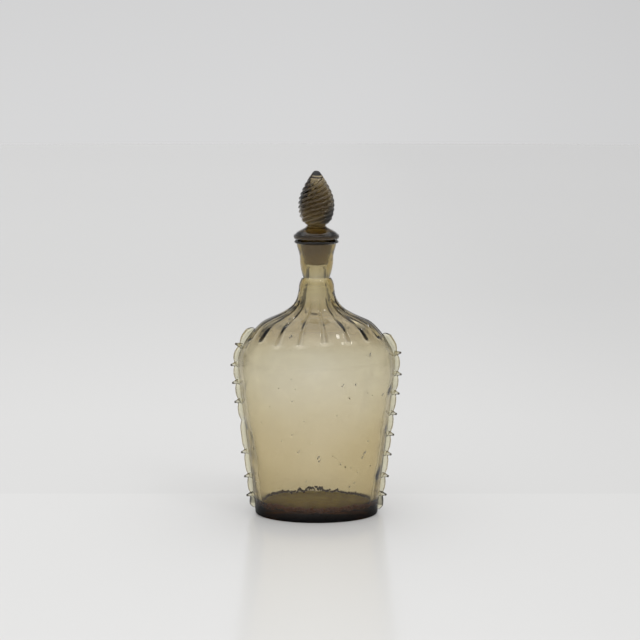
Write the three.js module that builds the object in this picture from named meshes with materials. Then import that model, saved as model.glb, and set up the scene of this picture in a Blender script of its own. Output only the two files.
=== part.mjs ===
// Flask-shaped carafe of hand-blown glass with a ground-in stopper.
// Millimetres, +Z up, the broad front towards -Y, the origin on the table under the middle of the base.
// Every outline is a list of (half width, height) points and is turned round the upright axis.
// Heights are stacked: each rise is counted from the level under it, so whatever stands above follows.
import * as THREE from "three";

// Body of the flask
const baseHalfWidth = 52;
const bodyHalfWidth = 66.6;
const depthOverWidth = 0.7;
const widestHeight = 131;
const breakHalfWidth = 44;
const shoulderRise = 34;
const ovalEndsDrop = 1;
const roundStartsDrop = 4;

// Neck and mouth
const neckGatherRadius = 14.9;
const neckFootRise = 27;
const crownRise = 9.2;
const waistRadius = 11.1;
const neckRadius = 14;
const neckRise = 16.2;
const mouthRadius = 16.45;
const flareRise = 11.8;
const lipRise = 3.8;
const lipRounding = 1.5;
const boreRadius = 5.9;
const funnelRise = 1.5;
const socketOverrun = 1;
const hollowTopDrop = 7;
const hollowSwellDrop = 4;

// Walls, floor and base
const flaskWall = 1.3;
const gatherWall = 1.8;
const layerGap = 0.5;
const floorEdgeHeight = 8.5;
const floorRise = 1.5;
const floorFillet = 4.5;
const flaskFloor = 2.2;
const crownEdge = 0.3;
const baseRounding = 2.4;
const standingRingWidth = 10;
const kickUp = 3.5;

// Ribs of the shoulder, with a rib and not a groove at the front
const ribCount = 18;
const ribTurn = THREE.MathUtils.degToRad(-3);
const grooveDepth = 1.3;
const grooveEndsRise = 18;
const grooveStartsDrop = 11;
const grooveFade = 7;
const skinTolerance = 0.5;

// Ring round the mouth
const ringReach = 2.05;
const ringRise = 3.6;
const ringDrop = 0.4;
const ringBulge = 0.6;

// Pinched trails on the narrow sides. Each starts its own rise above the widest level and ends its own height above
// the table. Pinches are shares of the way down, and a waist is a pinch that was left without a tooth.
const trailGap = 0.3;
const lobeReach = 3.5;
const waistReach = 2.2;
const firstLobeReach = 4.6;
const lobeHalfBreadth = 3.1;
const toothHalfBreadth = 1.1;
const toothReach = 6.6;
const toothHalfRise = 2.4;
const trailEndRun = 4;
const trailEndReach = 0.6;
const trailEndHalfBreadth = 1;
const waistHalfBreadth = 2;
const leftTrail = {
  side: -1,
  startRise: 27,
  endHeight: 4.3,
  teeth: [0.097, 0.195, 0.292, 0.398, 0.68, 0.816, 0.923],
  waists: [0.508],
};
const rightTrail = {
  side: 1,
  startRise: 22.5,
  endHeight: 2.6,
  teeth: [0.111, 0.22, 0.328, 0.444, 0.562, 0.675, 0.8, 0.907],
  waists: [],
};

// Stopper
const fusedGap = 0.3;
const seatGap = 0.4;
const socketClearance = 0.3;
const plugTopRadius = 8.8;
const plugEndRadius = 5.9;
const plugLength = 21.4;
const plugEndRounding = 0.8;
const flangeRadius = 19;
const flangeRise = 4.2;
const flangeTopInset = 1.4;
const flangeBulge = 0.45;
const coneRise = 7.3;
const stemRadius = 7.6;
const finialRadius = 15.2;
const finialBellyRise = 17.1;
const finialTaperRise = 25.9;
const finialTipRadius = 3.4;
const finialTipRise = 1.8;
const finialRibs = 7;
const finialRibDepth = 0.9;
const finialLead = 27;
const finialPlainRise = 8;
const finialFadeBelow = 3;
const finialFadeAbove = 5;
const finialFootLift = 1.2;

// How finely curves are stepped
const hollowRows = 5;
const outsideRows = 8;
const sideRows = 4;
const bellyRows = 8;
const taperRows = 11;
const sidesPerRib = 3;
const gatherSides = ribCount * sidesPerRib;
const flaskSides = 36;
const ringSides = 36;
const finialSides = finialRibs * 6;
const trailSides = 8;
const lobeRows = 4;

const breakHeight = widestHeight + shoulderRise;
const neckFootHeight = breakHeight + neckFootRise;
const stepHeight = neckFootHeight + crownRise;
const neckHeight = stepHeight + neckRise;
const ringSeatHeight = neckHeight + flareRise;
const lipHeight = ringSeatHeight + lipRise;
const flangeHeight = lipHeight + seatGap;
const plugTopHeight = flangeHeight - fusedGap;
const plugEndHeight = plugTopHeight - plugLength;
const coneHeight = flangeHeight + flangeRise;
const stemHeight = coneHeight + coneRise;
const finialHeight = stemHeight + fusedGap;
const grooveEndHeight = widestHeight + grooveEndsRise;
const grooveStartHeight = neckFootHeight - grooveStartsDrop;

const { lerp, smoothstep } = THREE.MathUtils;

// A curve through four handles, given as pairs of half width and height.
function bend(...handles) {
  return new THREE.CubicBezierCurve(...handles.map(([x, y]) => new THREE.Vector2(x, y)));
}

// The outside of the second gather from its crown on the neck down to the corner of the base.
const crownCurve = bend(
  [waistRadius + layerGap + crownEdge, stepHeight],
  [lerp(waistRadius, neckGatherRadius, 0.5), lerp(neckFootHeight, stepHeight, 0.86)],
  [neckGatherRadius, lerp(neckFootHeight, stepHeight, 0.5)],
  [neckGatherRadius, neckFootHeight],
);
const footCurve = bend(
  [neckGatherRadius, neckFootHeight],
  [neckGatherRadius, lerp(breakHeight, neckFootHeight, 0.48)],
  [lerp(neckGatherRadius, breakHalfWidth, 0.3), lerp(breakHeight, neckFootHeight, 0.28)],
  [breakHalfWidth, breakHeight],
);
const shoulderCurve = bend(
  [breakHalfWidth, breakHeight],
  [lerp(breakHalfWidth, bodyHalfWidth, 0.265), lerp(widestHeight, breakHeight, 0.934)],
  [bodyHalfWidth, lerp(widestHeight, breakHeight, 0.31)],
  [bodyHalfWidth, widestHeight],
);
const sideCurve = bend(
  [bodyHalfWidth, widestHeight],
  [bodyHalfWidth, lerp(baseRounding, widestHeight, 0.88)],
  [lerp(baseHalfWidth, bodyHalfWidth, 0.19), lerp(baseRounding, widestHeight, 0.27)],
  [baseHalfWidth, baseRounding],
);
const wallCurves = [footCurve, shoulderCurve, sideCurve];

// Depth of glass from the outside to the seam between the two gathers, which is deeper on the neck.
function gatherDepth(height) {
  const neckDepth = neckGatherRadius - waistRadius - layerGap;
  return lerp(gatherWall, neckDepth, smoothstep(height, breakHeight, neckFootHeight));
}

// Depth of glass from the outside to the hollow, which closes to the bore at the top of the foot.
function wallDepth(height) {
  const neckDepth = neckGatherRadius - boreRadius;
  const bodyDepth = gatherWall + layerGap + flaskWall;
  return lerp(bodyDepth, neckDepth, smoothstep(height, breakHeight - hollowSwellDrop, neckFootHeight - hollowTopDrop));
}

// The wall's curves moved into the glass by a depth that changes with height, from the top down to a lowest level.
function insetWall(depthAt, lowest) {
  const points = [];
  for (const curve of wallCurves) {
    const rows = curve === sideCurve ? sideRows : hollowRows;
    for (let i = 0; i <= rows; i++) {
      const point = curve.getPoint(i / rows);
      const along = curve.getTangent(i / rows);
      const depth = depthAt(point.y);
      points.push(new THREE.Vector2(point.x + along.y * depth, point.y - along.x * depth));
    }
  }
  const cut = points.findIndex((point) => point.y <= lowest);
  const above = points[cut - 1];
  const foot = above.clone().lerp(points[cut], (above.y - lowest) / (above.y - points[cut].y));
  return [...points.slice(0, cut), foot];
}

// A floor from the axis out to the foot of a wall: a shallow dome, then a rounded corner of the given radius.
function floorPoints(wallFoot, edgeHeight, rise, fillet) {
  const edge = wallFoot.x - fillet;
  const dome = bend([0, edgeHeight + rise], [edge * 0.5, edgeHeight + rise], [edge * 0.7, edgeHeight],
    [edge, edgeHeight]);
  const corner = bend([edge, edgeHeight], [edge + fillet * 0.55, edgeHeight],
    [wallFoot.x, lerp(edgeHeight, wallFoot.y, 0.45)], [wallFoot.x, wallFoot.y]);
  return [...dome.getPoints(4), ...corner.getPoints(3)];
}

// One outline out of several stretches, without the points that two stretches share.
function joined(...stretches) {
  const points = stretches.flat();
  return points.filter((point, i) => i === 0 || point.distanceTo(points[i - 1]) > 0.05);
}

function at(halfWidth, height) {
  return new THREE.Vector2(halfWidth, height);
}

// A turned body standing on Z, with each point moved by reshape. Angles count from the front. Its outline runs up the
// outside and, where the piece is hollow, back down the inside.
function turned(outline, sides, reshape = () => {}, firstAngle = 0) {
  const geometry = new THREE.LatheGeometry(outline, sides, firstAngle);
  geometry.rotateX(Math.PI / 2);
  const positions = geometry.attributes.position;
  const point = new THREE.Vector3();
  for (let i = 0; i < positions.count; i++) {
    point.fromBufferAttribute(positions, i);
    reshape(point);
    positions.setXYZ(i, point.x, point.y, point.z);
  }
  geometry.computeVertexNormals();
  return geometry;
}

// Presses a round form to the flask's oval: full oval up to the shoulder break, round from the neck up.
function pressOval(point) {
  const oval = breakHeight - ovalEndsDrop;
  const round = neckFootHeight - roundStartsDrop;
  point.y *= lerp(depthOverWidth, 1, smoothstep(point.z, oval, round));
}

// Draws the shoulder in along the grooves between its ribs. Only points on the outside skin are moved.
function cutGrooves(point) {
  const radius = Math.hypot(point.x, point.y);
  const outside = outsideHalfWidth(point.z);
  if (outside === null || radius < outside - skinTolerance) {
    return;
  }
  const angle = Math.atan2(point.x, -point.y) - ribTurn;
  const notch = (0.5 - 0.5 * Math.cos(ribCount * angle)) ** 3;
  const low = smoothstep(point.z, grooveEndHeight, grooveEndHeight + grooveFade);
  const high = 1 - smoothstep(point.z, grooveStartHeight - grooveFade, grooveStartHeight);
  const depth = grooveDepth * notch * low * high;
  point.x *= 1 - depth / radius;
  point.y *= 1 - depth / radius;
}

// The place on the outside at a height, found by halving, since height falls steadily along the curves.
function onOutside(height) {
  const curve = wallCurves.find((c) => height <= c.v0.y && height >= c.v3.y);
  if (!curve) {
    return null;
  }
  let low = 0;
  let high = 1;
  for (let i = 0; i < 30; i++) {
    const middle = (low + high) / 2;
    if (curve.getPoint(middle).y > height) {
      low = middle;
    } else {
      high = middle;
    }
  }
  const along = curve.getTangent(low);
  return { point: curve.getPoint(low), outward: at(-along.y, along.x) };
}

function outsideHalfWidth(height) {
  const place = onOutside(height);
  return place ? place.point.x : null;
}

// A closed skin over rings that have as many points each, with a flat fan at both ends.
function skinned(rings) {
  const sides = rings[0].length;
  const middle = (ring) => ring.reduce((sum, p) => sum.add(p), new THREE.Vector3()).divideScalar(sides);
  const points = [...rings.flat(), middle(rings[0]), middle(rings[rings.length - 1])];
  const faces = [];
  const firstMiddle = points.length - 2;
  const lastMiddle = points.length - 1;
  for (let k = 0; k < sides; k++) {
    const next = (k + 1) % sides;
    for (let i = 0; i + 1 < rings.length; i++) {
      const here = i * sides;
      const there = here + sides;
      faces.push(here + k, here + next, there + next, here + k, there + next, there + k);
    }
    const lastRing = (rings.length - 1) * sides;
    faces.push(firstMiddle, next, k, lastMiddle, lastRing + k, lastRing + next);
  }
  const geometry = new THREE.BufferGeometry().setFromPoints(points);
  geometry.setIndex(faces);
  geometry.computeVertexNormals();
  return geometry;
}

const group = new THREE.Group();

function add(name, geometry, color, roughness) {
  const material = new THREE.MeshStandardMaterial({
    color,
    roughness,
    metalness: 0,
    transparent: true,
    opacity: 0.6,
  });
  const mesh = new THREE.Mesh(geometry, material);
  mesh.name = name;
  group.add(mesh);
}

const oliveGlass = 0xb8ad86;
const deepGlass = 0x8d7f58;
const darkGlass = 0x3a3123;
const paleGlass = 0xcfc8b4;

// First gather: the hollow, the ground socket and the visible top of the neck.
function flaskBody() {
  const wallFootHeight = floorEdgeHeight + floorFillet;
  const hollow = insetWall(wallDepth, wallFootHeight).reverse();
  const skin = insetWall((height) => gatherDepth(height) + layerGap, wallFootHeight - flaskFloor);
  const skinFoot = skin[skin.length - 1];
  const slope = (plugTopRadius - plugEndRadius) / plugLength;
  const socketEndHeight = plugEndHeight - socketOverrun;
  const socketEndRadius = plugEndRadius + socketClearance - slope * socketOverrun;
  const socketMouthRadius = plugTopRadius + socketClearance + slope * (lipHeight - plugTopHeight);
  const funnel = bend([boreRadius, stepHeight + funnelRise], [boreRadius, lerp(stepHeight, socketEndHeight, 0.5)],
    [socketEndRadius, lerp(stepHeight, socketEndHeight, 0.6)], [socketEndRadius, socketEndHeight]);
  const lip = bend([mouthRadius - lipRounding, lipHeight], [mouthRadius - lipRounding * 0.45, lipHeight],
    [mouthRadius, lipHeight - lipRounding * 0.45], [mouthRadius, lipHeight - lipRounding]);
  const flare = bend([mouthRadius, ringSeatHeight],
    [lerp(neckRadius, mouthRadius, 0.78), lerp(neckHeight, ringSeatHeight, 0.66)],
    [neckRadius, lerp(neckHeight, ringSeatHeight, 0.39)], [neckRadius, neckHeight]);
  const neck = bend([neckRadius, neckHeight], [neckRadius, lerp(stepHeight, neckHeight, 0.57)],
    [lerp(waistRadius, neckRadius, 0.52), lerp(stepHeight, neckHeight, 0.26)], [waistRadius, stepHeight]);
  const outline = joined(
    floorPoints(hollow[0], floorEdgeHeight, floorRise, floorFillet),
    hollow,
    funnel.getPoints(3),
    [at(socketMouthRadius, lipHeight)],
    lip.getPoints(3),
    flare.getPoints(4),
    neck.getPoints(4),
    skin,
    floorPoints(skinFoot, floorEdgeHeight - flaskFloor, floorRise, floorFillet).reverse(),
  );
  return turned(outline.reverse(), flaskSides, pressOval);
}

// Second gather: the step on the neck, the ribbed shoulder, the outer wall and the heavy base.
function outerGather() {
  const innerFloorEdge = floorEdgeHeight - flaskFloor - layerGap;
  const inside = insetWall(gatherDepth, innerFloorEdge + floorFillet).reverse();
  const neckInside = waistRadius + layerGap;
  const ringOuter = baseHalfWidth - baseRounding;
  const ringInner = ringOuter - standingRingWidth;
  const corner = bend([baseHalfWidth, baseRounding], [baseHalfWidth, baseRounding * 0.45],
    [baseHalfWidth - baseRounding * 0.45, 0], [ringOuter, 0]);
  const hollowUnder = bend([ringInner, 0], [ringInner * 0.85, kickUp * 0.8], [ringInner * 0.5, kickUp], [0, kickUp]);
  const outline = joined(
    floorPoints(inside[0], innerFloorEdge, floorRise, floorFillet),
    inside,
    [at(neckInside, stepHeight)],
    crownCurve.getPoints(4),
    footCurve.getPoints(outsideRows),
    shoulderCurve.getPoints(outsideRows),
    sideCurve.getPoints(sideRows),
    corner.getPoints(3),
    [at(ringInner, 0)],
    hollowUnder.getPoints(4),
  );
  const reshape = (point) => {
    cutGrooves(point);
    pressOval(point);
  };
  return turned(outline.reverse(), gatherSides, reshape, ribTurn + Math.PI / ribCount);
}

// Ring of glass round the mouth, rounded outwards and closed on itself.
function lipRing() {
  const inner = mouthRadius + fusedGap;
  const outer = mouthRadius + ringReach;
  const bottom = ringSeatHeight + ringDrop;
  const top = bottom + ringRise - ringDrop;
  const bulge = bend([inner, bottom], [outer + ringBulge, bottom], [outer + ringBulge, top], [inner, top]);
  const outline = joined(bulge.getPoints(8), [at(inner, bottom)]);
  return turned(outline, ringSides);
}

// Pinched trail laid down one narrow side: lobes between pinches, and at most pinches a tooth drawn outwards.
function trail({ side, startRise, endHeight, teeth, waists }) {
  const top = widestHeight + startRise;
  const heightOf = (share) => lerp(top, endHeight, share);
  const toothHeights = teeth.map(heightOf);
  const pinchHeights = [...toothHeights, ...waists.map(heightOf)].sort((a, b) => b - a);
  const rings = trailLevels(top, endHeight, pinchHeights).map((height) => {
    const away = pinchHeights.map((pinch) => Math.abs(height - pinch));
    const nearest = Math.min(...away);
    const isTooth = toothHeights.includes(pinchHeights[away.indexOf(nearest)]);
    const pinched = Math.max(0, 1 - nearest / toothHalfRise);
    const swell = Math.min(1, nearest / (2 * toothHalfRise));
    const whole = Math.min(1, (top - height) / trailEndRun, (height - endHeight) / trailEndRun);
    const lobe = lerp(waistReach, height > pinchHeights[0] ? firstLobeReach : lobeReach, swell);
    const reach = lerp(trailEndReach, lerp(lobe, isTooth ? toothReach : waistReach, pinched), whole);
    const narrow = isTooth ? toothHalfBreadth : waistHalfBreadth;
    const breadth = lerp(trailEndHalfBreadth, lerp(lobeHalfBreadth, narrow, pinched), whole);
    return trailRing(side, height, reach, breadth);
  });
  return skinned(rings);
}

// Levels of a trail's rings from the top down: each pinch, the feet of its tooth, and steps along each lobe.
function trailLevels(top, bottom, pinchHeights) {
  const stretches = [top, ...pinchHeights, bottom];
  const levels = [];
  for (let i = 0; i + 1 < stretches.length; i++) {
    const from = i === 0 ? top : stretches[i] - toothHalfRise;
    const to = i + 2 === stretches.length ? bottom : stretches[i + 1] + toothHalfRise;
    levels.push(stretches[i]);
    for (let k = 0; k <= lobeRows; k++) {
      levels.push(lerp(from, to, k / lobeRows));
    }
  }
  return [...new Set(levels)];
}

// One ring of a trail, rounded, standing out square from the wall at its height.
function trailRing(side, height, reach, breadth) {
  const { point, outward } = onOutside(height);
  return Array.from({ length: trailSides }, (_, k) => {
    const angle = ((k + 0.5) / trailSides) * 2 * Math.PI;
    const out = trailGap + (reach * (1 - Math.cos(angle))) / 2;
    const x = side * (point.x + outward.x * out);
    const y = side * breadth * Math.sin(angle);
    return new THREE.Vector3(x, y, point.y + outward.y * out);
  });
}

// Solid tapered plug.
function stopperPlug() {
  const outline = joined([
    at(0, plugEndHeight),
    at(plugEndRadius - plugEndRounding, plugEndHeight),
    at(plugEndRadius, plugEndHeight + plugEndRounding),
    at(plugTopRadius, plugTopHeight),
    at(0, plugTopHeight),
  ]);
  return turned(outline, ringSides);
}

// Disc with a rounded rim, hollowed cone and short stem.
function stopperFlange() {
  const rimFoot = flangeRadius - flangeTopInset;
  const rimHandle = flangeRadius + flangeBulge;
  const rim = bend([rimFoot, flangeHeight], [rimHandle, flangeHeight], [rimHandle, coneHeight], [rimFoot, coneHeight]);
  const cone = bend([rimFoot, coneHeight],
    [lerp(stemRadius, flangeRadius, 0.66), lerp(coneHeight, stemHeight, 0.46)],
    [lerp(stemRadius, flangeRadius, 0.08), lerp(coneHeight, stemHeight, 0.6)], [stemRadius, stemHeight]);
  const outline = joined([at(0, flangeHeight)], rim.getPoints(6), cone.getPoints(5), [at(0, stemHeight)]);
  return turned(outline, ringSides);
}

// Flame-shaped knop, its ribs twisted round it and dying out towards the plain tip.
function stopperFinial() {
  const bellyHeight = finialHeight + finialBellyRise;
  const shoulderHeight = bellyHeight + finialTaperRise;
  const tipHeight = shoulderHeight + finialTipRise;
  const plainHeight = tipHeight - finialPlainRise;
  const belly = bend([stemRadius, finialHeight], [lerp(stemRadius, finialRadius, 0.7), finialHeight + finialFootLift],
    [finialRadius, lerp(finialHeight, bellyHeight, 0.5)], [finialRadius, bellyHeight]);
  const taper = bend([finialRadius, bellyHeight], [finialRadius, lerp(bellyHeight, shoulderHeight, 0.28)],
    [lerp(finialTipRadius, finialRadius, 0.56), lerp(bellyHeight, shoulderHeight, 0.66)],
    [finialTipRadius, shoulderHeight]);
  const tip = bend([finialTipRadius, shoulderHeight], [finialTipRadius * 0.76, lerp(shoulderHeight, tipHeight, 0.72)],
    [finialTipRadius * 0.38, tipHeight], [0, tipHeight]);
  const outline = joined([at(0, finialHeight)], belly.getPoints(bellyRows), taper.getPoints(taperRows), tip.getPoints(3));
  const twist = (point) => {
    const radius = Math.hypot(point.x, point.y);
    if (radius < 0.01) {
      return;
    }
    const angle = Math.atan2(point.x, -point.y) - (2 * Math.PI * (point.z - finialHeight)) / finialLead;
    const rising = smoothstep(point.z, finialHeight, finialHeight + finialFadeBelow);
    const dying = smoothstep(point.z, plainHeight - finialFadeAbove, plainHeight);
    const depth = finialRibDepth * rising * (1 - dying) * (0.5 - 0.5 * Math.cos(finialRibs * angle));
    point.x *= 1 - depth / radius;
    point.y *= 1 - depth / radius;
  };
  return turned(outline, finialSides, twist);
}

add("flask_body", flaskBody(), oliveGlass, 0.05);
add("outer_gather", outerGather(), oliveGlass, 0.05);
add("lip_ring", lipRing(), darkGlass, 0.05);
add("left_trail", trail(leftTrail), paleGlass, 0.06);
add("right_trail", trail(rightTrail), paleGlass, 0.06);
add("stopper_plug", stopperPlug(), deepGlass, 0.35);
add("stopper_flange", stopperFlange(), deepGlass, 0.05);
add("stopper_finial", stopperFinial(), deepGlass, 0.06);

export default group;
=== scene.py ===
import math
import random

import bmesh
import bpy
from mathutils import Matrix, Vector, noise
from mathutils.geometry import interpolate_bezier


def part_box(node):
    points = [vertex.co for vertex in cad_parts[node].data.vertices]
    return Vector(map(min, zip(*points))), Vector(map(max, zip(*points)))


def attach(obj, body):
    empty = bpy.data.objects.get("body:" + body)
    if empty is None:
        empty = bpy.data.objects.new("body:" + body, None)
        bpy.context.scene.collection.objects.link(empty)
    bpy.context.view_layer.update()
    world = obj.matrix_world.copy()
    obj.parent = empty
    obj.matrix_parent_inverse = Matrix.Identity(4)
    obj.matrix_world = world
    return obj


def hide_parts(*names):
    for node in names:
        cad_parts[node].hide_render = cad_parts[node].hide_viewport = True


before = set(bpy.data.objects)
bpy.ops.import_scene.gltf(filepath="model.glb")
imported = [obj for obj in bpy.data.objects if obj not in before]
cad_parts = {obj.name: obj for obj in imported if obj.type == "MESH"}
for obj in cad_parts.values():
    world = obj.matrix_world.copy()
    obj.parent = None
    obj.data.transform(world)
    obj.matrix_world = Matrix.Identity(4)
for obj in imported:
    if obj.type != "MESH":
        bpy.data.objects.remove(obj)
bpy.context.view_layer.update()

scene = bpy.context.scene
bpy.ops.object.select_all(action="DESELECT")

# Camera
# It stands 1.34 m in front of the carafe and a little above its stopper, and looks slightly down
# through a long lens.
camera_place = (0.003, -1.34, 0.359)
camera_tilt = math.radians(8.23)
bpy.ops.object.camera_add(location=camera_place, rotation=(math.pi / 2 - camera_tilt, 0, 0))
scene.camera = bpy.context.object
scene.camera.name = "camera"
scene.camera.data.sensor_width = 36
scene.camera.data.lens = 90.957

# Bottle
# One wall of smoky olive-amber glass, blown from two gathers that are welded hot. The second gather
# ends in a rounded step on the neck, was blown into a ribbed mould at the shoulder, and was pressed
# oval with paddles. The mouth is ground out for the stopper, and the base is pushed up in the middle.
gather_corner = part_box("outer_gather")[1]
step_height = gather_corner.z
body_half_width = gather_corner.x
body_depth_share = gather_corner.y / body_half_width
lip_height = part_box("flask_body")[1].z
plug_end_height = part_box("stopper_plug")[0].z

widest_height = 0.131
break_height = 0.165
neck_foot_height = 0.192
neck_height = 0.2174
ring_seat_height = 0.2292
break_half_width = 0.044
neck_gather_radius = 0.0149
waist_radius = 0.0111
step_width = 0.0009
neck_radius = 0.014
mouth_radius = 0.01645
socket_mouth_radius = 0.00912
bore_radius = 0.0059
base_half_width = 0.052
base_rounding = 0.0017
standing_ring_width = 0.01
kick_up = 0.0035
neck_wall = 0.0079
shoulder_wall = 0.0032
foot_wall = 0.0058
shoulder_wall_height = 0.115
foot_wall_height = 0.01
neck_wall_height = break_height - 0.007
hollow_top = neck_foot_height + 0.004
floor_height = 0.0085
floor_dome = 0.0015
floor_fillet = 0.0045


def mixed(low, high, share):
    return low + (high - low) * share


def smooth_rise(value, low, high):
    share = min(max((value - low) / (high - low), 0.0), 1.0)
    return share * share * (3 - 2 * share)


def stroke(rows, *handles):
    """One curved stretch of an outline without its first point, through handles of half width and height."""
    knots = [Vector((across, 0, height)) for across, height in handles]
    return interpolate_bezier(*knots, rows + 1)[1:]


def line(rows, start, end):
    """One straight stretch of an outline without its first point."""
    first = Vector((start[0], 0, start[1]))
    last = Vector((end[0], 0, end[1]))
    return [first.lerp(last, (i + 1) / rows) for i in range(rows)]


def inside(points):
    """The points of an outline that runs down the outside, moved in by the wall, which thickens both ways
    from the shoulder."""
    moved = []
    for i, point in enumerate(points):
        along = points[min(i + 1, len(points) - 1)] - points[max(i - 1, 0)]
        along.normalize()
        wall = mixed(foot_wall, shoulder_wall, smooth_rise(point.z, foot_wall_height, shoulder_wall_height))
        wall = mixed(wall, neck_wall, smooth_rise(point.z, neck_wall_height, hollow_top))
        moved.append(point + Vector((along.z, 0, -along.x)) * wall)
    return moved


def relaxed(points, passes):
    """An outline with its corners eased, as blown glass has none. Its two ends stay."""
    for _ in range(passes):
        middle = [(a + b * 2 + c) / 4 for a, b, c in zip(points, points[1:], points[2:])]
        points = [points[0], *middle, points[-1]]
    return points


def blank(name):
    """A piece with nothing in it yet, in edit mode."""
    bpy.ops.object.select_all(action="DESELECT")
    bpy.ops.mesh.primitive_plane_add(size=0.001)
    piece = bpy.context.object
    piece.name = piece.data.name = name
    bpy.ops.object.mode_set(mode="EDIT")
    bpy.ops.mesh.delete(type="VERT")
    return piece


def turned(name, points, columns, first_angle=0.0):
    """Draws an outline by extruding one vertex from point to point, and spins it round the upright axis."""
    turn = Matrix.Rotation(first_angle, 3, "Z")
    piece = blank(name)
    bpy.ops.mesh.primitive_plane_add(size=0.001)
    bpy.ops.mesh.merge(type="CENTER")
    bpy.ops.transform.translate(value=turn @ points[0])
    for here, there in zip(points, points[1:]):
        bpy.ops.mesh.extrude_region_move(TRANSFORM_OT_translate={"value": turn @ (there - here)})
    bpy.ops.mesh.select_all(action="SELECT")
    bpy.ops.mesh.spin(steps=columns, angle=math.tau, center=(0, 0, 0), axis=(0, 0, 1))
    bpy.ops.mesh.select_all(action="SELECT")
    bpy.ops.mesh.remove_doubles(threshold=1e-6)
    bpy.ops.mesh.normals_make_consistent(inside=False)
    bpy.ops.mesh.faces_shade_smooth()
    bpy.ops.object.mode_set(mode="OBJECT")
    return piece


def paint(piece, name, weight_at):
    """A vertex group with a weight from 0 to 1 for each vertex by its place."""
    group = piece.vertex_groups.new(name=name)
    for vertex in piece.data.vertices:
        weight = weight_at(vertex.co)
        if weight > 0.002:
            group.add([vertex.index], min(weight, 1.0), "REPLACE")


def modify(piece, kind, **settings):
    """Adds a modifier with its settings and applies it."""
    bpy.context.view_layer.objects.active = piece
    bpy.ops.object.modifier_add(type=kind)
    modifier = piece.modifiers[-1]
    for name, setting in settings.items():
        setattr(modifier, name, setting)
    bpy.ops.object.modifier_apply(modifier=modifier.name)


def displace(piece, distance, group="", texture=None, middle=0.0):
    """Moves the surface along its normals by a distance, as far as a vertex group or a texture says."""
    modify(
        piece,
        "DISPLACE",
        strength=distance,
        mid_level=middle,
        vertex_group=group,
        texture=texture,
        texture_coords="LOCAL",
    )


press_fade = 0.01


def press(piece, depth_share):
    """Presses a turned form oval from the shoulder's break down, and less and less above it."""
    bpy.ops.object.select_all(action="DESELECT")
    bpy.context.view_layer.objects.active = piece
    piece.select_set(True)
    bpy.ops.object.mode_set(mode="EDIT")
    mesh = bmesh.from_edit_mesh(piece.data)
    for vertex in mesh.verts:
        vertex.select = vertex.co.z < break_height
    mesh.select_flush_mode()
    bmesh.update_edit_mesh(piece.data)
    bpy.ops.transform.resize(
        value=(1, depth_share, 1),
        center_override=(0, 0, 0),
        use_proportional_edit=True,
        proportional_edit_falloff="SMOOTH",
        proportional_size=neck_foot_height - break_height + press_fade,
    )
    bpy.ops.object.mode_set(mode="OBJECT")


# Each curve runs from its first point to its last, and the two handles between them pull it.
side_curve = [
    (body_half_width, widest_height),
    (body_half_width, mixed(base_rounding, widest_height, 0.88)),
    (mixed(base_half_width, body_half_width, 0.19), mixed(base_rounding, widest_height, 0.27)),
    (base_half_width, base_rounding),
]
shoulder_curve = [
    (break_half_width, break_height),
    (mixed(break_half_width, body_half_width, 0.265), mixed(widest_height, break_height, 0.934)),
    (body_half_width, mixed(widest_height, break_height, 0.31)),
    (body_half_width, widest_height),
]
foot_curve = [
    (neck_gather_radius, neck_foot_height),
    (neck_gather_radius, mixed(break_height, neck_foot_height, 0.48)),
    (mixed(neck_gather_radius, break_half_width, 0.3), mixed(break_height, neck_foot_height, 0.28)),
    (break_half_width, break_height),
]
crown_start = waist_radius + step_width
ring_outer = base_half_width - base_rounding
ring_inner = ring_outer - standing_ring_width
crown_curve = [
    (crown_start, step_height - 0.0001),
    (mixed(waist_radius, neck_gather_radius, 0.5), mixed(neck_foot_height, step_height, 0.9)),
    (neck_gather_radius, mixed(neck_foot_height, step_height, 0.5)),
    (neck_gather_radius, neck_foot_height),
]
outer_wall = relaxed([
    Vector((neck_gather_radius, 0, neck_foot_height)),
    *stroke(34, *foot_curve),
    *stroke(36, *shoulder_curve),
    *stroke(26, *side_curve),
], 24)
hollow_wall = relaxed(inside([
    Vector((neck_gather_radius, 0, hollow_top)),
    *stroke(20, *foot_curve),
    *stroke(18, *shoulder_curve),
    *stroke(20, *side_curve),
]), 16)
hollow_wall = [point for point in hollow_wall if point.z > floor_height + floor_fillet]
hollow_foot = (hollow_wall[-1].x, hollow_wall[-1].z)
bore_foot = (hollow_wall[0].x, hollow_wall[0].z)
floor_edge = hollow_foot[0] - floor_fillet
bore_top = (bore_radius, plug_end_height - 0.0015)
lip_rounding = 0.0015

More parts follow.
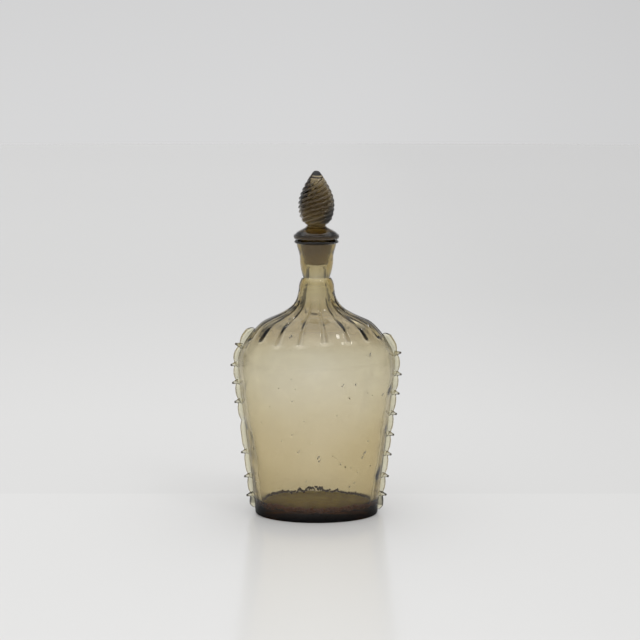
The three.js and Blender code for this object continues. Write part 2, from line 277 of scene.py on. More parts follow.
flask_outline = [
    Vector((0, 0, floor_height + floor_dome)),
    *stroke(12, (0, floor_height + floor_dome), (floor_edge * 0.5, floor_height + floor_dome),
            (floor_edge * 0.7, floor_height), (floor_edge, floor_height)),
    *stroke(8, (floor_edge, floor_height), (floor_edge + floor_fillet * 0.55, floor_height),
            (hollow_foot[0] - 0.0003, floor_height + floor_fillet * 0.45), hollow_foot),
    *reversed(hollow_wall[:-1]),
    *stroke(10, bore_foot, (bore_foot[0] - 0.0003, mixed(bore_foot[1], bore_top[1], 0.3)),
            (bore_radius + 0.0001, mixed(bore_foot[1], bore_top[1], 0.7)), bore_top),
    *line(8, bore_top, (socket_mouth_radius, lip_height)),
    *line(2, (socket_mouth_radius, lip_height), (mouth_radius - lip_rounding, lip_height)),
    *stroke(6, (mouth_radius - lip_rounding, lip_height), (mouth_radius - lip_rounding * 0.45, lip_height),
            (mouth_radius, lip_height - lip_rounding * 0.45), (mouth_radius, lip_height - lip_rounding)),
    *line(2, (mouth_radius, lip_height - lip_rounding), (mouth_radius, ring_seat_height)),
    *stroke(12, (mouth_radius, ring_seat_height),
            (mixed(neck_radius, mouth_radius, 0.78), mixed(neck_height, ring_seat_height, 0.66)),
            (neck_radius, mixed(neck_height, ring_seat_height, 0.39)), (neck_radius, neck_height)),
    *stroke(14, (neck_radius, neck_height), (neck_radius, mixed(step_height, neck_height, 0.57)),
            (mixed(waist_radius, neck_radius, 0.52), mixed(step_height, neck_height, 0.26)),
            (waist_radius, step_height)),
    *stroke(12, *crown_curve),
    *outer_wall[1:],
    *stroke(8, (base_half_width, base_rounding), (base_half_width, base_rounding * 0.45),
            (base_half_width - base_rounding * 0.45, 0), (ring_outer, 0)),
    *line(2, (ring_outer, 0), (ring_inner, 0)),
    *stroke(12, (ring_inner, 0), (ring_inner * 0.85, kick_up * 0.8),
            (ring_inner * 0.5, kick_up), (0, kick_up)),
]

# The ribs are what stands between grooves that the mould left. The grooves are narrow at the neck's
# foot and wide and deep at their outer ends, and behind they are shallower.
rib_count = 18
first_groove = math.radians(7)
groove_foot = 0.1495
groove_top = 0.187
groove_depth = 0.0021
groove_half_width = 0.0029
groove_narrowing = 0.35
groove_end_fade = 0.006
petal_share = 0.2
groove_depth_above = 0.38
groove_depth_behind = 0.35
groove_scatter = random.Random(5)
groove_ends = [groove_foot + groove_scatter.uniform(-0.0015, 0.003) for _ in range(rib_count)]


def groove_weight(point):
    """How deep the mould's groove is at a place on the round form, before it is pressed oval."""
    if not groove_foot - 0.004 < point.z < groove_top:
        return 0.0
    radius = math.hypot(point.x, point.y)
    if radius < outer_radius(point.z) - 0.0008:
        return 0.0
    turn = (math.atan2(point.x, -point.y) - first_groove) / math.tau * rib_count
    nearest = round(turn)
    away = abs(turn - nearest) / rib_count * math.tau * radius
    foot = groove_ends[nearest % rib_count]
    along = min(max((point.z - foot) / (groove_top - foot), 0.0), 1.0)
    half_width = groove_half_width * mixed(1.0, groove_narrowing, min(1.0, along * 1.5))
    across = max(0.0, 1 - (away / half_width) ** 2) ** 1.3
    petal = math.cos(math.pi * turn) ** 2
    behind = smooth_rise(point.y, 0.0, 0.015)
    foot_fade = smooth_rise(point.z, foot - 0.0012, foot + mixed(0.0014, 0.014, behind))
    ends = foot_fade * (1 - smooth_rise(point.z, groove_top - groove_end_fade, groove_top))
    depth = mixed(1.0, groove_depth_above, along) * mixed(1.0, groove_depth_behind, behind)
    return ((1 - petal_share) * across + petal_share * petal) * ends * depth


def outer_radius(height):
    """The outside half width of the round form at a height, from the outline's own points."""
    for above, below in zip(outer_wall, outer_wall[1:]):
        if below.z <= height <= above.z:
            return mixed(below.x, above.x, (height - below.z) / max(above.z - below.z, 1e-9))
    return 0.0


bottle = turned("bottle_glass", flask_outline, 360, first_groove - math.pi / 2)
paint(bottle, "grooves", groove_weight)
press(bottle, body_depth_share)
displace(bottle, -groove_depth, "grooves")


def blown_weight(point):
    """1 on what was only blown, and 0 on the ground socket, the mouth and the base, which are true."""
    from_axis = math.hypot(point.x, point.y)
    outside = smooth_rise(from_axis, 0.0098, 0.0135)
    under_socket = smooth_rise(-point.z, -0.207, -0.19)
    under_mouth = smooth_rise(-point.z, -0.229, -0.215)
    over_base = smooth_rise(point.z, 0.012, 0.04)
    return min(outside + under_socket, 1.0) * under_mouth * over_base


blown_ripple = 0.0008
ripples = bpy.data.textures.new("hand_blown_ripples", "CLOUDS")
ripples.noise_scale = 0.035
paint(bottle, "blown", blown_weight)
displace(bottle, blown_ripple, "blown", ripples, 0.5)


class Wire:
    """A socket of a material, so that sums and products of what it carries are written as Python sums."""

    def __init__(self, tree, socket):
        self.tree = tree
        self.socket = socket

    def node(self, kind, sockets, output=0, **settings):
        """Adds a node: first its settings, then the values or wires of its sockets."""
        added = self.tree.nodes.new(kind)
        for name, setting in settings.items():
            setattr(added, name, setting)
        for name, value in sockets.items():
            if isinstance(value, Wire):
                self.tree.links.new(value.socket, added.inputs[name])
            else:
                added.inputs[name].default_value = value
        return Wire(self.tree, added.outputs[output])

    def __add__(self, other):
        return self.node("ShaderNodeMath", {0: self, 1: other}, operation="ADD")

    def __mul__(self, other):
        return self.node("ShaderNodeMath", {0: self, 1: other}, operation="MULTIPLY")

    def __sub__(self, other):
        return self.node("ShaderNodeMath", {0: self, 1: other}, operation="SUBTRACT")

    def __rsub__(self, other):
        return self.node("ShaderNodeMath", {0: other, 1: self}, operation="SUBTRACT")

    __radd__ = __add__
    __rmul__ = __mul__

    def rise(self, low, high, start=0.0, end=1.0):
        """A smooth step from start to end as this number goes from low to high."""
        return self.node(
            "ShaderNodeMapRange",
            {"Value": self, "From Min": low, "From Max": high, "To Min": start, "To Max": end},
            interpolation_type="SMOOTHSTEP",
        )

    def noise(self, scale, detail=2.0, distortion=0.0):
        """Cloudy noise from 0 to 1 over the place that this wire carries."""
        return self.node(
            "ShaderNodeTexNoise",
            {"Vector": self, "Scale": scale, "Detail": detail, "Distortion": distortion},
        )

    def between(self, first, second):
        """The first colour where this number is 0, and the second where it is 1."""
        return self.node("ShaderNodeMix", {0: self, 6: first, 7: second}, output=2, data_type="RGBA")

    def coordinate(self, axis):
        return self.node("ShaderNodeSeparateXYZ", {0: self}, output="XYZ".index(axis))

    def scaled(self, factors):
        return self.node("ShaderNodeVectorMath", {0: self, 1: factors}, operation="MULTIPLY")

    def length(self):
        return self.node("ShaderNodeVectorMath", {0: self}, output=1, operation="LENGTH")

    def normalized(self):
        return self.node("ShaderNodeVectorMath", {0: self}, operation="NORMALIZE")

    def feed(self, shader, name):
        self.tree.links.new(self.socket, shader.inputs[name])


def new_material(name):
    """A material, its shader, and a wire with the place on the piece."""
    material = bpy.data.materials.new(name)
    material.use_nodes = True
    tree = material.node_tree
    place = Wire(tree, tree.nodes.new("ShaderNodeTexCoord").outputs["Object"])
    return material, tree.nodes["Principled BSDF"], place


glass_refraction = 1.52
clear = (1.0, 1.0, 1.0, 1.0)
clouded = (0.93, 0.92, 0.88, 1.0)
cloud_scale = 38.0
smear_scale = 160.0
smear_roughness = 0.03
ripple_scale = 45.0


def glass(name, absorbed, ripple_height, ground=0.0):
    """Glass that absorbs so much red, green and blue a metre, with clouds, smears and ripples, and is
    ground so rough. With it come its shader, and wires with the place, the colour and the roughness."""
    material, shader, place = new_material(name)
    shader.inputs["IOR"].default_value = glass_refraction
    shader.inputs["Transmission Weight"].default_value = 1.0
    colour = place.noise(cloud_scale, 4.0).rise(0.35, 0.75).between(clear, clouded)
    colour.feed(shader, "Base Color")
    roughness = place.noise(smear_scale, 5.0).rise(0.55, 0.8, 0.0, smear_roughness) + ground
    roughness.feed(shader, "Roughness")
    waves = place.noise(ripple_scale, 1.0, 0.4)
    bumped = place.node("ShaderNodeBump", {"Height": waves, "Distance": ripple_height, "Strength": 1.0})
    bumped.feed(shader, "Normal")

    density = max(absorbed)
    nodes = material.node_tree.nodes
    volume = nodes.new("ShaderNodeVolumeAbsorption")
    volume.inputs["Density"].default_value = density
    volume.inputs["Color"].default_value = (*[1 - share / density for share in absorbed], 1)
    material.node_tree.links.new(volume.outputs["Volume"], nodes["Material Output"].inputs["Volume"])
    return material, shader, place, colour, roughness


def front_of(place):
    """1 on the front of the bottle, falling to 0 at its middle."""
    return place.coordinate("Y").rise(-0.03, 0.0, 1.0, 0.0)


def finish(piece, body, slot, material, *nodes):
    """Gives a piece its material and body, and hides the solids that it stands for. Its slot is not used."""
    piece.data.materials.clear()
    piece.data.materials.append(material)
    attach(piece, body)
    if nodes:
        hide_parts(*nodes)


# The glass is a little darker at the shoulder and low down. At the shoulder the darker tint is partly
# a painted shade for the fine dark lines that the ribs refract. What the flask held has stained it round
# the floor, higher at the front. The standing ring is scuffed, and the socket is ground.
olive_absorbed = (34.0, 46.0, 90.0)
body_tint = (0.95, 0.935, 0.89, 1.0)
shoulder_tint_and_shade = (0.82, 0.775, 0.69, 1.0)
belly_tint = (0.91, 0.865, 0.77, 1.0)
stain_tint = (0.44, 0.31, 0.15, 1.0)
body_tint_fade = (0.15, 0.18)
belly_tint_fade = (0.05, 0.13)
shoulder_tint_low = (0.14, 0.155)
shoulder_tint_high = (0.172, 0.192)
stain_fade = 0.004
stain_front_rise = 0.011
stain_wander = 0.003
stain_scale = 120.0
scuff_height = 0.0015
scuff_roughness = 0.3
scuff_scale = 2400.0
socket_roughness = 0.22
socket_edge = (0.0096, 0.0099)
olive_glass, olive_shader, on_bottle, olive_colour, olive_roughness = glass(
    "olive_glass", olive_absorbed, ripple_height=0.0004
)
bottle_height = on_bottle.coordinate("Z")
# Partly painted shade: the shoulder's darker tint also stands in for the dark lines that the ribs refract.
shoulder_share = bottle_height.rise(*shoulder_tint_low) * bottle_height.rise(*shoulder_tint_high, 1.0, 0.1)
olive_colour = bottle_height.rise(*body_tint_fade, 1.0, 0.0).between(olive_colour, body_tint)
olive_colour = shoulder_share.between(olive_colour, shoulder_tint_and_shade)
olive_colour = bottle_height.rise(*belly_tint_fade, 1.0, 0.0).between(olive_colour, belly_tint)
stain_top = front_of(on_bottle) * stain_front_rise + (floor_height + stain_fade)
stain_level = bottle_height + on_bottle.noise(stain_scale, 3.0) * stain_wander
stain = stain_level.rise(floor_height, stain_top, 1.0, 0.0)
stain.between(olive_colour, stain_tint).feed(olive_shader, "Base Color")
scuffs = bottle_height.rise(0.0, scuff_height, scuff_roughness, 0.0) * on_bottle.noise(scuff_scale, 3.0)
from_axis = on_bottle.scaled((1.0, 1.0, 0.0)).length()
in_socket = from_axis.rise(*socket_edge, 1.0, 0.0) * bottle_height.rise(bore_top[1] - 0.0005, bore_top[1])
(olive_roughness + scuffs + in_socket * socket_roughness).feed(olive_shader, "Roughness")
finish(bottle, "bottle", "olive_glass", olive_glass, "flask_body", "outer_gather")

# Seeds
# Small bubbles that the melt left in the wall, drawn out upwards as the glass was blown. Each is a hollow
# in the wall, so its faces point into it. The larger ones at the front lie in pairs.
seed_scatter = random.Random(23)
seed_count = 40
seed_low = 0.03
seed_spread = 0.105
seed_least_depth = 0.0012
seed_most_depth = 0.0022
seed_least_radius = 0.0003
seed_most_radius = 0.00055
front_seed_depth = 0.0024
front_seed_growth = 1.3
pair_rise = 0.0012
pair_turn = 0.02
# Where each front seed lies, across from the axis and up from the table.
front_seeds = (
    (0.058, 0.1414), (0.0433, 0.1405), (0.0206, 0.1167), (0.0534, 0.1055), (-0.0214, 0.1553),
    (-0.0147, 0.061), (0.0021, 0.0534), (0.037, 0.0542), (0.0385, 0.0575), (0.001, 0.056),
)
seed_places = [
    (seed_low + seed_spread * seed_scatter.random() ** 1.6, math.tau * seed_scatter.random())
    for _ in range(seed_count)
]
for across, height in front_seeds:
    turn = math.asin(across / (outer_radius(height) - front_seed_depth))
    seed_places.append((height, turn))
    seed_places.append((height + pair_rise, turn + pair_turn))
blank("seeds")
for i, (height, turn) in enumerate(seed_places):
    across = outer_radius(height) - seed_scatter.uniform(seed_least_depth, seed_most_depth)
    growth = 1.0 if i < seed_count else front_seed_growth
    size = seed_scatter.uniform(seed_least_radius, seed_most_radius) * growth
    bpy.ops.mesh.select_all(action="DESELECT")
    bpy.ops.mesh.primitive_uv_sphere_add(segments=10, ring_count=6, radius=size)
    bpy.ops.transform.resize(value=(1, 1, seed_scatter.uniform(0.8, 1.9)), center_override=(0, 0, 0))
    place = (across * math.sin(turn), -across * math.cos(turn) * body_depth_share, height)
    bpy.ops.transform.translate(value=place)
bpy.ops.mesh.select_all(action="SELECT")
bpy.ops.mesh.normals_make_consistent(inside=True)
bpy.ops.mesh.faces_shade_smooth()
bpy.ops.object.mode_set(mode="OBJECT")
bottle.select_set(True)
bpy.context.view_layer.objects.active = bottle
bpy.ops.object.join()

# Dregs
# A crust of dried wine that was left where the floor of the flask meets its wall. It is thicker and
# redder at the front, and is made of grains melted together.
dregs_scatter = random.Random(11)
grain_count = 460
grain_voxel = 0.00028
crust_rise = 0.0018
crust_front_rise = 0.0005
crust_back_rise = 0.0007
crust_swell = 0.0014
crust_wander = 0.0006
back_grain_radius = 0.0006
front_grain_radius = 0.0013
grain_radius_spread = 0.0004
grain_scale = 900.0
dark_crust = (0.02, 0.009, 0.004, 1.0)
brown_crust = (0.075, 0.03, 0.014, 1.0)
red_crust = (0.34, 0.15, 0.03, 1.0)


def cloud_round(turn, turns, level):
    """A number from -1 to 1 that wanders round the wall, faster with more turns."""
    return noise.noise(Vector((math.sin(turn) * turns, math.cos(turn) * turns, level)))


dregs = blank("dregs")
for i in range(grain_count):
    turn = math.tau * i / grain_count
    front = max(0.0, math.cos(turn)) ** 0.5
    back = max(0.0, -math.cos(turn)) ** 2
    rise = crust_rise + front * crust_front_rise + back * crust_back_rise
    rise += (cloud_round(turn, 9, 0.5) + cloud_round(turn, 45, 3.5)) * crust_swell
    rise += dregs_scatter.uniform(-crust_wander, crust_wander)
    size = mixed(back_grain_radius, front_grain_radius, front) + grain_radius_spread * dregs_scatter.random()
    across = floor_edge + floor_fillet * (1 - (1 - min(rise / floor_fillet, 1.0)) ** 2) ** 0.5
    place = (across * math.sin(turn), -across * math.cos(turn) * body_depth_share, floor_height + rise)
    bpy.ops.mesh.primitive_ico_sphere_add(subdivisions=2, radius=size, location=place)
bpy.ops.object.mode_set(mode="OBJECT")
modify(dregs, "REMESH", mode="VOXEL", voxel_size=grain_voxel, use_smooth_shade=True)
dried_wine, crust_shader, on_crust = new_material("dried_wine")
grain_tone = on_crust.noise(grain_scale, 4.0).rise(0.3, 0.7)
crust_colour = front_of(on_crust).between(grain_tone.between(dark_crust, brown_crust), red_crust)
crust_colour.feed(crust_shader, "Base Color")
grain_tone.rise(0.0, 1.0, 0.55, 0.8).feed(crust_shader, "Roughness")
finish(dregs, "bottle", "olive_glass", dried_wine)

# Wine film
# What dried on the floor of the flask inside the crust. It is a thin matt skin that follows the floor's
# dome and climbs the foot of the wall a little.
film_lift = 0.0002
film_thickness = 0.00015
film_points = 17
film_scale = 110.0
thin_film = (0.33, 0.25, 0.045, 1.0)
thick_film = (0.46, 0.37, 0.085, 1.0)
floor_line = flask_outline[:film_points]
film_top = [point + Vector((0, 0, film_lift)) for point in floor_line]
film_foot = [point + Vector((0, 0, film_lift - film_thickness)) for point in reversed(floor_line)]
film = turned("wine_film", [*film_top, *film_foot], 96)
press(film, body_depth_share)
dried_film, film_shader, on_film = new_material("dried_film")
film_shader.inputs["Specular IOR Level"].default_value = 0.1
film_tone = on_film.noise(film_scale, 5.0, 0.6).rise(0.3, 0.7)
film_tone.between(thin_film, thick_film).feed(film_shader, "Base Color")
film_tone.rise(0.0, 1.0, 0.7, 0.95).feed(film_shader, "Roughness")
finish(film, "bottle", "olive_glass", dried_film)

# Lip ring
# A thread of darker glass wound round the mouth while it was hot. It is welded to the neck, so it is
# sunk a little into it.
ring_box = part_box("lip_ring")
ring_sunk = 0.0003
ring_inner_radius = mouth_radius - ring_sunk
ring_bulge = (ring_box[1].x - ring_inner_radius) * 4 / 3
ring_low = ring_box[0].z
ring_high = ring_box[1].z
ring_outline = [
    Vector((ring_inner_radius, 0, ring_low)),
    *stroke(20, (ring_inner_radius, ring_low), (ring_inner_radius + ring_bulge, ring_low),
            (ring_inner_radius + ring_bulge, ring_high), (ring_inner_radius, ring_high)),
    *line(2, (ring_inner_radius, ring_high), (ring_inner_radius, ring_low)),
]
dark_absorbed = (1500.0, 1650.0, 2100.0)
lip_ring = turned("lip_ring_glass", ring_outline, 180)
dark_glass, *_ = glass("dark_glass", dark_absorbed, ripple_height=0.0002)
finish(lip_ring, "bottle", "dark_glass", dark_glass, "lip_ring")

# Side trails
# A hot trail of paler glass laid down each narrow side and squeezed with pincers, which leaves a row of
# thin lobes with a small tooth drawn out at each pinch. One pinch on the left drew no tooth. The tip of
# each tooth gets a painted shade.
trail_sides = 14
trail_step = 0.0009
trail_sunk = 0.0005
trail_voxel = 0.00026
trail_end_length = 0.004
trail_end_bluntness = 0.0004
lobe_reach = 0.0042
valley_reach = 0.0024
first_lobe_reach = 0.0052
lobe_half_breadth = 0.0023
valley_half_breadth = 0.0015
valley_half_rise = 0.0072
tooth_reach = 0.0065
tooth_radius = 0.0031
tooth_tip_radius = 0.0011
tooth_droop = math.radians(9)
# How far from a tooth's tip its painted shade is full and where it has faded out.
tooth_shade_near = 0.0014
tooth_shade_far = 0.0034
# For each trail its side, its top and foot, and its teeth and toothless pinches as shares of its length.
trails = {
    "left_trail": (-1, 0.158, 0.0043, (0.097, 0.195, 0.292, 0.398, 0.68, 0.816, 0.923), (0.508,)),
    "right_trail": (1, 0.1535, 0.0026, (0.111, 0.22, 0.328, 0.444, 0.562, 0.675, 0.8, 0.907), ()),
}


def wall_at(height):
    """The outside of the wall at a height, and its outward direction, as half width and height."""
    for above, below in zip(outer_wall, outer_wall[1:]):
        if below.z <= height <= above.z:
            point = below.lerp(above, (height - below.z) / max(above.z - below.z, 1e-9))
            along = (below - above).normalized()
            return point, Vector((-along.z, 0, along.x))
    raise ValueError(f"no wall at {height}")


def lobe_ring(side, height, reach, breadth):
    """An oval of the trail's section on the wall at a height."""
    point, outward = wall_at(height)
    middle = point + outward * (reach - trail_sunk) / 2
    tilt = math.atan2(outward.z, side * outward.x)
    bpy.ops.mesh.select_all(action="DESELECT")
    bpy.ops.mesh.primitive_circle_add(vertices=trail_sides, radius=breadth)
    bpy.ops.transform.resize(value=((reach + trail_sunk) / 2 / breadth, 1, 1), center_override=(0, 0, 0))
    bpy.ops.transform.rotate(value=tilt, orient_axis="Y", center_override=(0, 0, 0))
    bpy.ops.transform.translate(value=(side * middle.x, 0, middle.z))


def stand_out(side, height):
    """Turns what is selected, from upright on the origin, out of the wall at a height, drooping a little."""
    point, outward = wall_at(height)
    tilt = -math.atan2(side * outward.x, outward.z) - side * tooth_droop
    bpy.ops.transform.rotate(value=tilt, orient_axis="Y", center_override=(0, 0, 0))
    bpy.ops.transform.translate(value=(side * point.x, 0, point.z))


def pinched_trail(name, side, top, foot, teeth, waists):
    """A loft through rings down the wall, with a tooth drawn out of it at each share of its length."""
    tooth_heights = [mixed(top, foot, share) for share in teeth]
    pinches = tooth_heights + [mixed(top, foot, share) for share in waists]
    first_pinch = max(pinches)
    piece = blank(name)
    steps = round((top - foot) / trail_step)
    for i in range(steps + 1):
        height = mixed(top, foot, i / steps)
        from_pinch = min(abs(pinch - height) for pinch in pinches)
        lobe = math.sin(math.pi / 2 * min(1.0, from_pinch / valley_half_rise))
        reach = mixed(valley_reach, first_lobe_reach if height > first_pinch else lobe_reach, lobe)
        breadth = mixed(valley_half_breadth, lobe_half_breadth, lobe)
        from_end = min(top - height, height - foot) + trail_end_bluntness
        taper = min(1.0, from_end / trail_end_length) ** 0.5
        lobe_ring(side, height, reach * taper, breadth * taper)
    bpy.ops.mesh.select_all(action="SELECT")
    bpy.ops.mesh.bridge_edge_loops()
    bpy.ops.mesh.select_all(action="SELECT")
    bpy.ops.mesh.fill_holes(sides=0)
    neck_reach = tooth_reach - tooth_tip_radius
    for height in tooth_heights:
        bpy.ops.mesh.select_all(action="DESELECT")
        bpy.ops.mesh.primitive_cone_add(
            vertices=16, radius1=tooth_radius, radius2=tooth_tip_radius * 0.8, depth=neck_reach
        )
        bpy.ops.transform.translate(value=(0, 0, neck_reach / 2))
        stand_out(side, height)
        bpy.ops.mesh.select_all(action="DESELECT")
        bpy.ops.mesh.primitive_uv_sphere_add(segments=16, ring_count=8, radius=tooth_tip_radius)
        bpy.ops.transform.translate(value=(0, 0, neck_reach))
        stand_out(side, height)
    bpy.ops.mesh.select_all(action="SELECT")
    bpy.ops.mesh.normals_make_consistent(inside=False)
    bpy.ops.object.mode_set(mode="OBJECT")
    modify(piece, "REMESH", mode="VOXEL", voxel_size=trail_voxel, use_smooth_shade=True)
    modify(piece, "SMOOTH", factor=0.5, iterations=5)
    # Painted shade: vertices near each tooth's tip are marked, so that the glass colour turns dark there.
    drawn = piece.data.attributes.new("tip_shade", "FLOAT", "POINT")
    tips = []
    for height in tooth_heights:
        point, outward = wall_at(height)
        tip = point + outward * tooth_reach
        tips.append(Vector((side * tip.x, 0, tip.z - tooth_reach * math.sin(tooth_droop))))
    for vertex, mark in zip(piece.data.vertices, drawn.data):
        nearest = min((vertex.co - tip).length for tip in tips)
        mark.value = 1 - smooth_rise(nearest, tooth_shade_near, tooth_shade_far)
    return piece


def marked_glass(name, absorbed, attribute, mark_colour):
    """Glass that turns to the colour of a painted shade where an attribute of its piece says."""
    material, shader, place, colour, _ = glass(name, absorbed, ripple_height=0.0003)
    mark = place.node("ShaderNodeAttribute", {}, output=2, attribute_name=attribute)
    mark.between(colour, mark_colour).feed(shader, "Base Color")
    return material


pale_absorbed = (52.0, 62.0, 120.0)
# The colour of the painted shade at the tips of the teeth.
painted_tooth_shade = (0.1, 0.085, 0.065, 1.0)
pale_glass = marked_glass("pale_glass", pale_absorbed, "tip_shade", painted_tooth_shade)
for node, shape in trails.items():
    finish(pinched_trail(node + "_glass", *shape), "bottle", "pale_glass", pale_glass, node)

# Stopper flange
# The disc, cone and stem under the finial, tooled from one solid gather of deep olive glass. The three
# parts of the stopper are welded, so the plug and the finial reach a little into the flange.
flange_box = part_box("stopper_flange")
weld = 0.0004
flange_radius = flange_box[1].x
flange_low = flange_box[0].z
stem_height = flange_box[1].z
disc_rise = 0.0042
disc_height = flange_low + disc_rise
rim_foot = flange_radius - 0.0014
rim_bulge = flange_radius + 0.00045
stem_radius = 0.0076
flange_outline = [
    Vector((0, 0, flange_low)),
    *line(6, (0, flange_low), (rim_foot, flange_low)),
    *stroke(16, (rim_foot, flange_low), (rim_bulge, flange_low),
            (rim_bulge, disc_height), (rim_foot, disc_height)),
    *stroke(20, (rim_foot, disc_height),
            (mixed(stem_radius, flange_radius, 0.66), mixed(disc_height, stem_height, 0.46)),
            (mixed(stem_radius, flange_radius, 0.08), mixed(disc_height, stem_height, 0.6)),
            (stem_radius, stem_height)),
    *line(4, (stem_radius, stem_height), (0, stem_height)),
]
flange = turned("stopper_flange_glass", flange_outline, 160)
deep_absorbed = (70.0, 86.0, 128.0)
deep_glass, *_ = glass("deep_glass", deep_absorbed, ripple_height=0.0003)
finish(flange, "stopper", "stopper_glass", deep_glass, "stopper_flange")

# Stopper plug
# The solid tapered plug, ground with sand to the socket and finely frosted. Its end was left slightly
# rounded, as it was pinched off.
plug_top = flange_low + weld
plug_contact = 0.00005
socket_taper = (socket_mouth_radius - bore_top[0]) / (lip_height - bore_top[1])
plug_rounding = 0.0008
plug_end_dome = 0.0006
plug_foot = plug_end_height + plug_end_dome
plug_foot_radius = bore_top[0] + (plug_foot + plug_rounding - bore_top[1]) * socket_taper + plug_contact
plug_top_radius = bore_top[0] + (plug_top - bore_top[1]) * socket_taper + plug_contact
plug_end_radius = plug_foot_radius - plug_rounding
plug_side_foot = plug_foot + plug_rounding
plug_outline = [
    Vector((0, 0, plug_end_height)),
    *stroke(8, (0, plug_end_height), (plug_foot_radius * 0.5, plug_end_height),
            (plug_foot_radius * 0.75, plug_foot), (plug_end_radius, plug_foot)),
    *stroke(5, (plug_end_radius, plug_foot), (plug_foot_radius - plug_rounding * 0.45, plug_foot),
            (plug_foot_radius, plug_foot + plug_rounding * 0.55), (plug_foot_radius, plug_side_foot)),
    *line(16, (plug_foot_radius, plug_side_foot), (plug_top_radius, plug_top)),
    *line(4, (plug_top_radius, plug_top), (0, plug_top)),
]
plug = turned("stopper_plug_glass", plug_outline, 120)
ground_absorbed = (104.0, 126.0, 181.0)
ground_glass, *_ = glass("ground_glass", ground_absorbed, ripple_height=0.0001, ground=0.22)
finish(plug, "stopper", "ground_glass", ground_glass, "stopper_plug")

# Stopper finial
# A solid flame-shaped knop, dipped into a ribbed mould and twisted while hot, so that its ribs climb
# round it. They die out under the plain drawn tip. The creases between them get a painted shade,
# darkest in their depths, which stands in for the dark that refraction gives them.
finial_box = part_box("stopper_finial")
finial_low = flange_box[1].z - weld
finial_foot = finial_box[0].z
tip_height = finial_box[1].z
finial_radius = 0.0152
belly_height = finial_foot + 0.0171
shoulder_height = tip_height - 0.0018
tip_radius = 0.0033
finial_ribs = 7
finial_lead = 0.027
crease_depth = 0.0023
crease_fullness = 0.9
# How sharply the painted shade gathers in the depths of the creases.
crease_shade_sharpness = 1.6
plain_height = tip_height - 0.008
finial_outline = [
    Vector((0, 0, finial_low)),
    *line(3, (0, finial_low), (stem_radius, finial_low)),
    *line(1, (stem_radius, finial_low), (stem_radius, finial_foot)),
    *stroke(52, (stem_radius, finial_foot), (mixed(stem_radius, finial_radius, 0.7), finial_foot + 0.0012),
            (finial_radius, mixed(finial_foot, belly_height, 0.5)), (finial_radius, belly_height)),
    *stroke(86, (finial_radius, belly_height), (finial_radius, mixed(belly_height, shoulder_height, 0.28)),
            (mixed(tip_radius, finial_radius, 0.56), mixed(belly_height, shoulder_height, 0.66)),
            (tip_radius, shoulder_height)),
    *stroke(8, (tip_radius, shoulder_height), (tip_radius * 0.76, mixed(shoulder_height, tip_height, 0.72)),
            (tip_radius * 0.38, tip_height), (0, tip_height)),
]


def crease_weight(point):
    """How deep the crease between two twisted ribs is at a place on the knop."""
    turn = math.atan2(point.x, -point.y) - math.tau * (point.z - finial_foot) / finial_lead
    crease = 1 - abs(math.sin(turn * finial_ribs / 2)) ** crease_fullness
    rising = smooth_rise(point.z, finial_foot, finial_foot + 0.003)
    dying = smooth_rise(point.z, plain_height - 0.004, plain_height + 0.0015)
    return crease * rising * (1 - dying)


finial = turned("stopper_finial_glass", finial_outline, 280)
paint(finial, "creases", crease_weight)
# Painted shade: each vertex is marked by how deep in a crease it lies, and the glass colour darkens there.
crease_shade = finial.data.attributes.new("crease_shade", "FLOAT", "POINT")
for vertex, mark in zip(finial.data.vertices, crease_shade.data):
    mark.value = crease_weight(vertex.co) ** crease_shade_sharpness
displace(finial, -crease_depth, "creases")
# The colour of the painted shade in the creases.
painted_crease_shade = (0.15, 0.125, 0.05, 1.0)
twisted_glass = marked_glass("twisted_glass", deep_absorbed, "crease_shade", painted_crease_shade)
finish(finial, "stopper", "stopper_glass", twisted_glass, "stopper_finial")

# Studio
# One broad pale disc is the table top and the backdrop behind its far edge, and past it is the world,
# darkest halfway up and brightest overhead, with one small soft box. Dark gaps between the screens
# round it show only in light that has bounced off the inside of the glass.
floor_radius = 9.0
floor_colour = (0.823, 0.82, 0.808, 1.0)
floor_roughness = 0.16
table_edge = 0.0615
table_edge_blend = 0.002
behind_table = 0.965
# The painted shadow under the base, and the painted shade round it that the glass mirrors.
painted_contact_shadow_tone = 0.06
contact_shadow_inside = 0.006
contact_shadow_outside = 0.003
mirrored_shade_reach = 0.05
mirrored_shade_dark = 0.92
right_tone = 0.92
gap_start = 1.6
gap_blend = 0.04
gap_softness = 0.12
gap_tone = 0.1
# Each fade holds where it starts and ends, in metres, bounces or elevation, and the tones there.
near_fade = (0.3, 1.6, 1.0, 0.92)
far_fade = (2.0, 8.0, 1.0, 0.9)
bounce_fade = (1.0, 3.5, 1.0, 0.3)
low_gap_fade = (0.05, 0.09, 1.0, 0.25)
high_gap_fade = (0.11, 0.15, 0.0, 0.7)
horizon_fade = (-0.04, 0.1, 0.68, 0.64)
halfway_fade = (0.22, 0.5, 1.0, 0.55)
overhead_glow = (0.6, 0.8, 0.0, 0.9)
# For each gap its heading and half its breadth, in degrees, and how dark it is.
table_gaps = ((-47, 38, 0.3), (-66, 19, 0.8), (72, 12, 1.0))
upper_gaps = ((-47, 30, 1.0), (45, 14, 1.0))
bpy.ops.object.select_all(action="DESELECT")
bpy.ops.mesh.primitive_circle_add(vertices=128, radius=floor_radius, fill_type="NGON")
floor = bpy.context.object
floor.name = "floor"


def gap(heading, middle, half_breadth):
    """1 in the gap between two screens and in the opposite one, whose middle is so many degrees off the
    back, to the right."""
    double = 2 * math.radians(middle)
    across = heading.coordinate("X")
    along = heading.coordinate("Y")
    aligned = (along * along - across * across) * math.cos(double) + across * along * 2 * math.sin(double)
    edge = math.cos(2 * math.radians(half_breadth))
    return aligned.rise(edge, edge + gap_softness * (1 - edge))


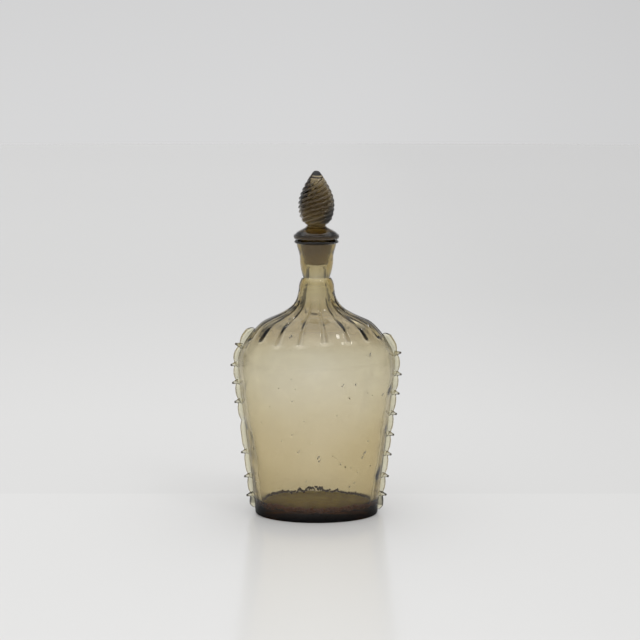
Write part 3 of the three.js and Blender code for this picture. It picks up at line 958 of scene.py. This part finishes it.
def any_gap(heading, gaps):
    """How dark the gaps are in this direction, from 0 to 1."""
    left = 1.0
    for middle, half_breadth, darkness in gaps:
        left = left * (1 - gap(heading, middle, half_breadth) * darkness)
    return 1 - left


def dimming(tree, gaps):
    """The share of the light that is left. Only what has bounced off the inside of glass loses any, in the
    gaps and by each bounce."""
    ray = tree.nodes.new("ShaderNodeLightPath")
    bounces = Wire(tree, ray.outputs["Glossy Depth"])
    inside_glass = bounces.rise(0.0, 1.0) * Wire(tree, ray.outputs["Transmission Depth"]).rise(0.0, 1.0)
    left = (1 - gaps * (1 - gap_tone)) * bounces.rise(*bounce_fade)
    return inside_glass * (left - 1) + 1


# The table has a painted shadow under the base and, where glass mirrors it, a painted shade close round the
# base. It is a little darker too behind its far edge and into the distance, and a painted shade darkens it
# to the right.
pale_table, table_shader, spot = new_material("pale_table")
table_shader.inputs["Roughness"].default_value = floor_roughness
under = spot.scaled((1.0, 1 / body_depth_share, 0.0)).length()
# Painted shadow under the base, and painted shade round it in what the glass mirrors.
mirrored = Wire(spot.tree, spot.tree.nodes.new("ShaderNodeLightPath").outputs["Is Glossy Ray"])
contact = under.rise(ring_outer - contact_shadow_inside, ring_outer + contact_shadow_outside, painted_contact_shadow_tone, 1.0)
contact = contact * (1 - mirrored * under.rise(ring_outer, ring_outer + mirrored_shade_reach, mirrored_shade_dark, 0.0))
distance = spot.coordinate("Y")
backdrop = distance.rise(table_edge, table_edge + table_edge_blend, 1.0, behind_table)
backdrop = backdrop * distance.rise(*near_fade) * distance.rise(*far_fade)
far_off = spot.length().rise(gap_start - gap_blend, gap_start + gap_blend)
gaps = far_off * any_gap(spot.normalized(), table_gaps)
# A painted shade darkens the table to the right.
lit = contact * backdrop * spot.coordinate("X").rise(-0.05, 0.5, 1.0, right_tone) * dimming(spot.tree, gaps)
lit.between((0.0, 0.0, 0.0, 1.0), floor_colour).feed(table_shader, "Base Color")
floor.data.materials.append(pale_table)

# The world shows the room to what looks at it, straight, mirrored or through glass, and lights the rest
# evenly.
world = bpy.data.worlds.new("studio")
world.use_nodes = True
scene.world = world
sky = world.node_tree
ray = sky.nodes.new("ShaderNodeLightPath")
seen = Wire(sky, ray.outputs["Is Camera Ray"]) + Wire(sky, ray.outputs["Is Glossy Ray"])
seen = seen + Wire(sky, ray.outputs["Is Transmission Ray"])
direction = Wire(sky, sky.nodes.new("ShaderNodeTexCoord").outputs["Generated"])
elevation = direction.coordinate("Z")
heading = direction.scaled((1.0, 1.0, 0.0)).normalized()
low_dark = elevation.rise(*low_gap_fade) * any_gap(heading, table_gaps)
high_dark = elevation.rise(*high_gap_fade) * any_gap(heading, upper_gaps)
gaps = 1 - (1 - low_dark) * (1 - high_dark)
room = elevation.rise(*horizon_fade) * elevation.rise(*halfway_fade) + elevation.rise(*overhead_glow)
room = room * direction.coordinate("X").rise(-0.02, 0.25, 1.0, right_tone) * dimming(sky, gaps)
tone = seen.node("ShaderNodeMix", {0: seen, 2: 1.0, 3: room}, data_type="FLOAT", clamp_factor=True)
tone.feed(sky.nodes["Background"], "Strength")
sky.nodes["Background"].inputs["Color"].default_value = (1.0, 1.0, 1.005, 1)

soft_box_place = (0.75, -0.8, 1.5)
soft_box_aim = Vector((0, 0, 0.1))
bpy.ops.object.light_add(type="AREA", location=soft_box_place)
soft_box = bpy.context.object
soft_box.name = "soft_box"
soft_box.data.shape = "DISK"
soft_box.data.size = 0.3
soft_box.data.energy = 1.8
soft_box.visible_transmission = False
soft_box.rotation_euler = (soft_box_aim - soft_box.location).to_track_quat("-Z", "Y").to_euler()

scene.cycles.max_bounces = 24
scene.cycles.transmission_bounces = 24
scene.view_settings.view_transform = "Standard"
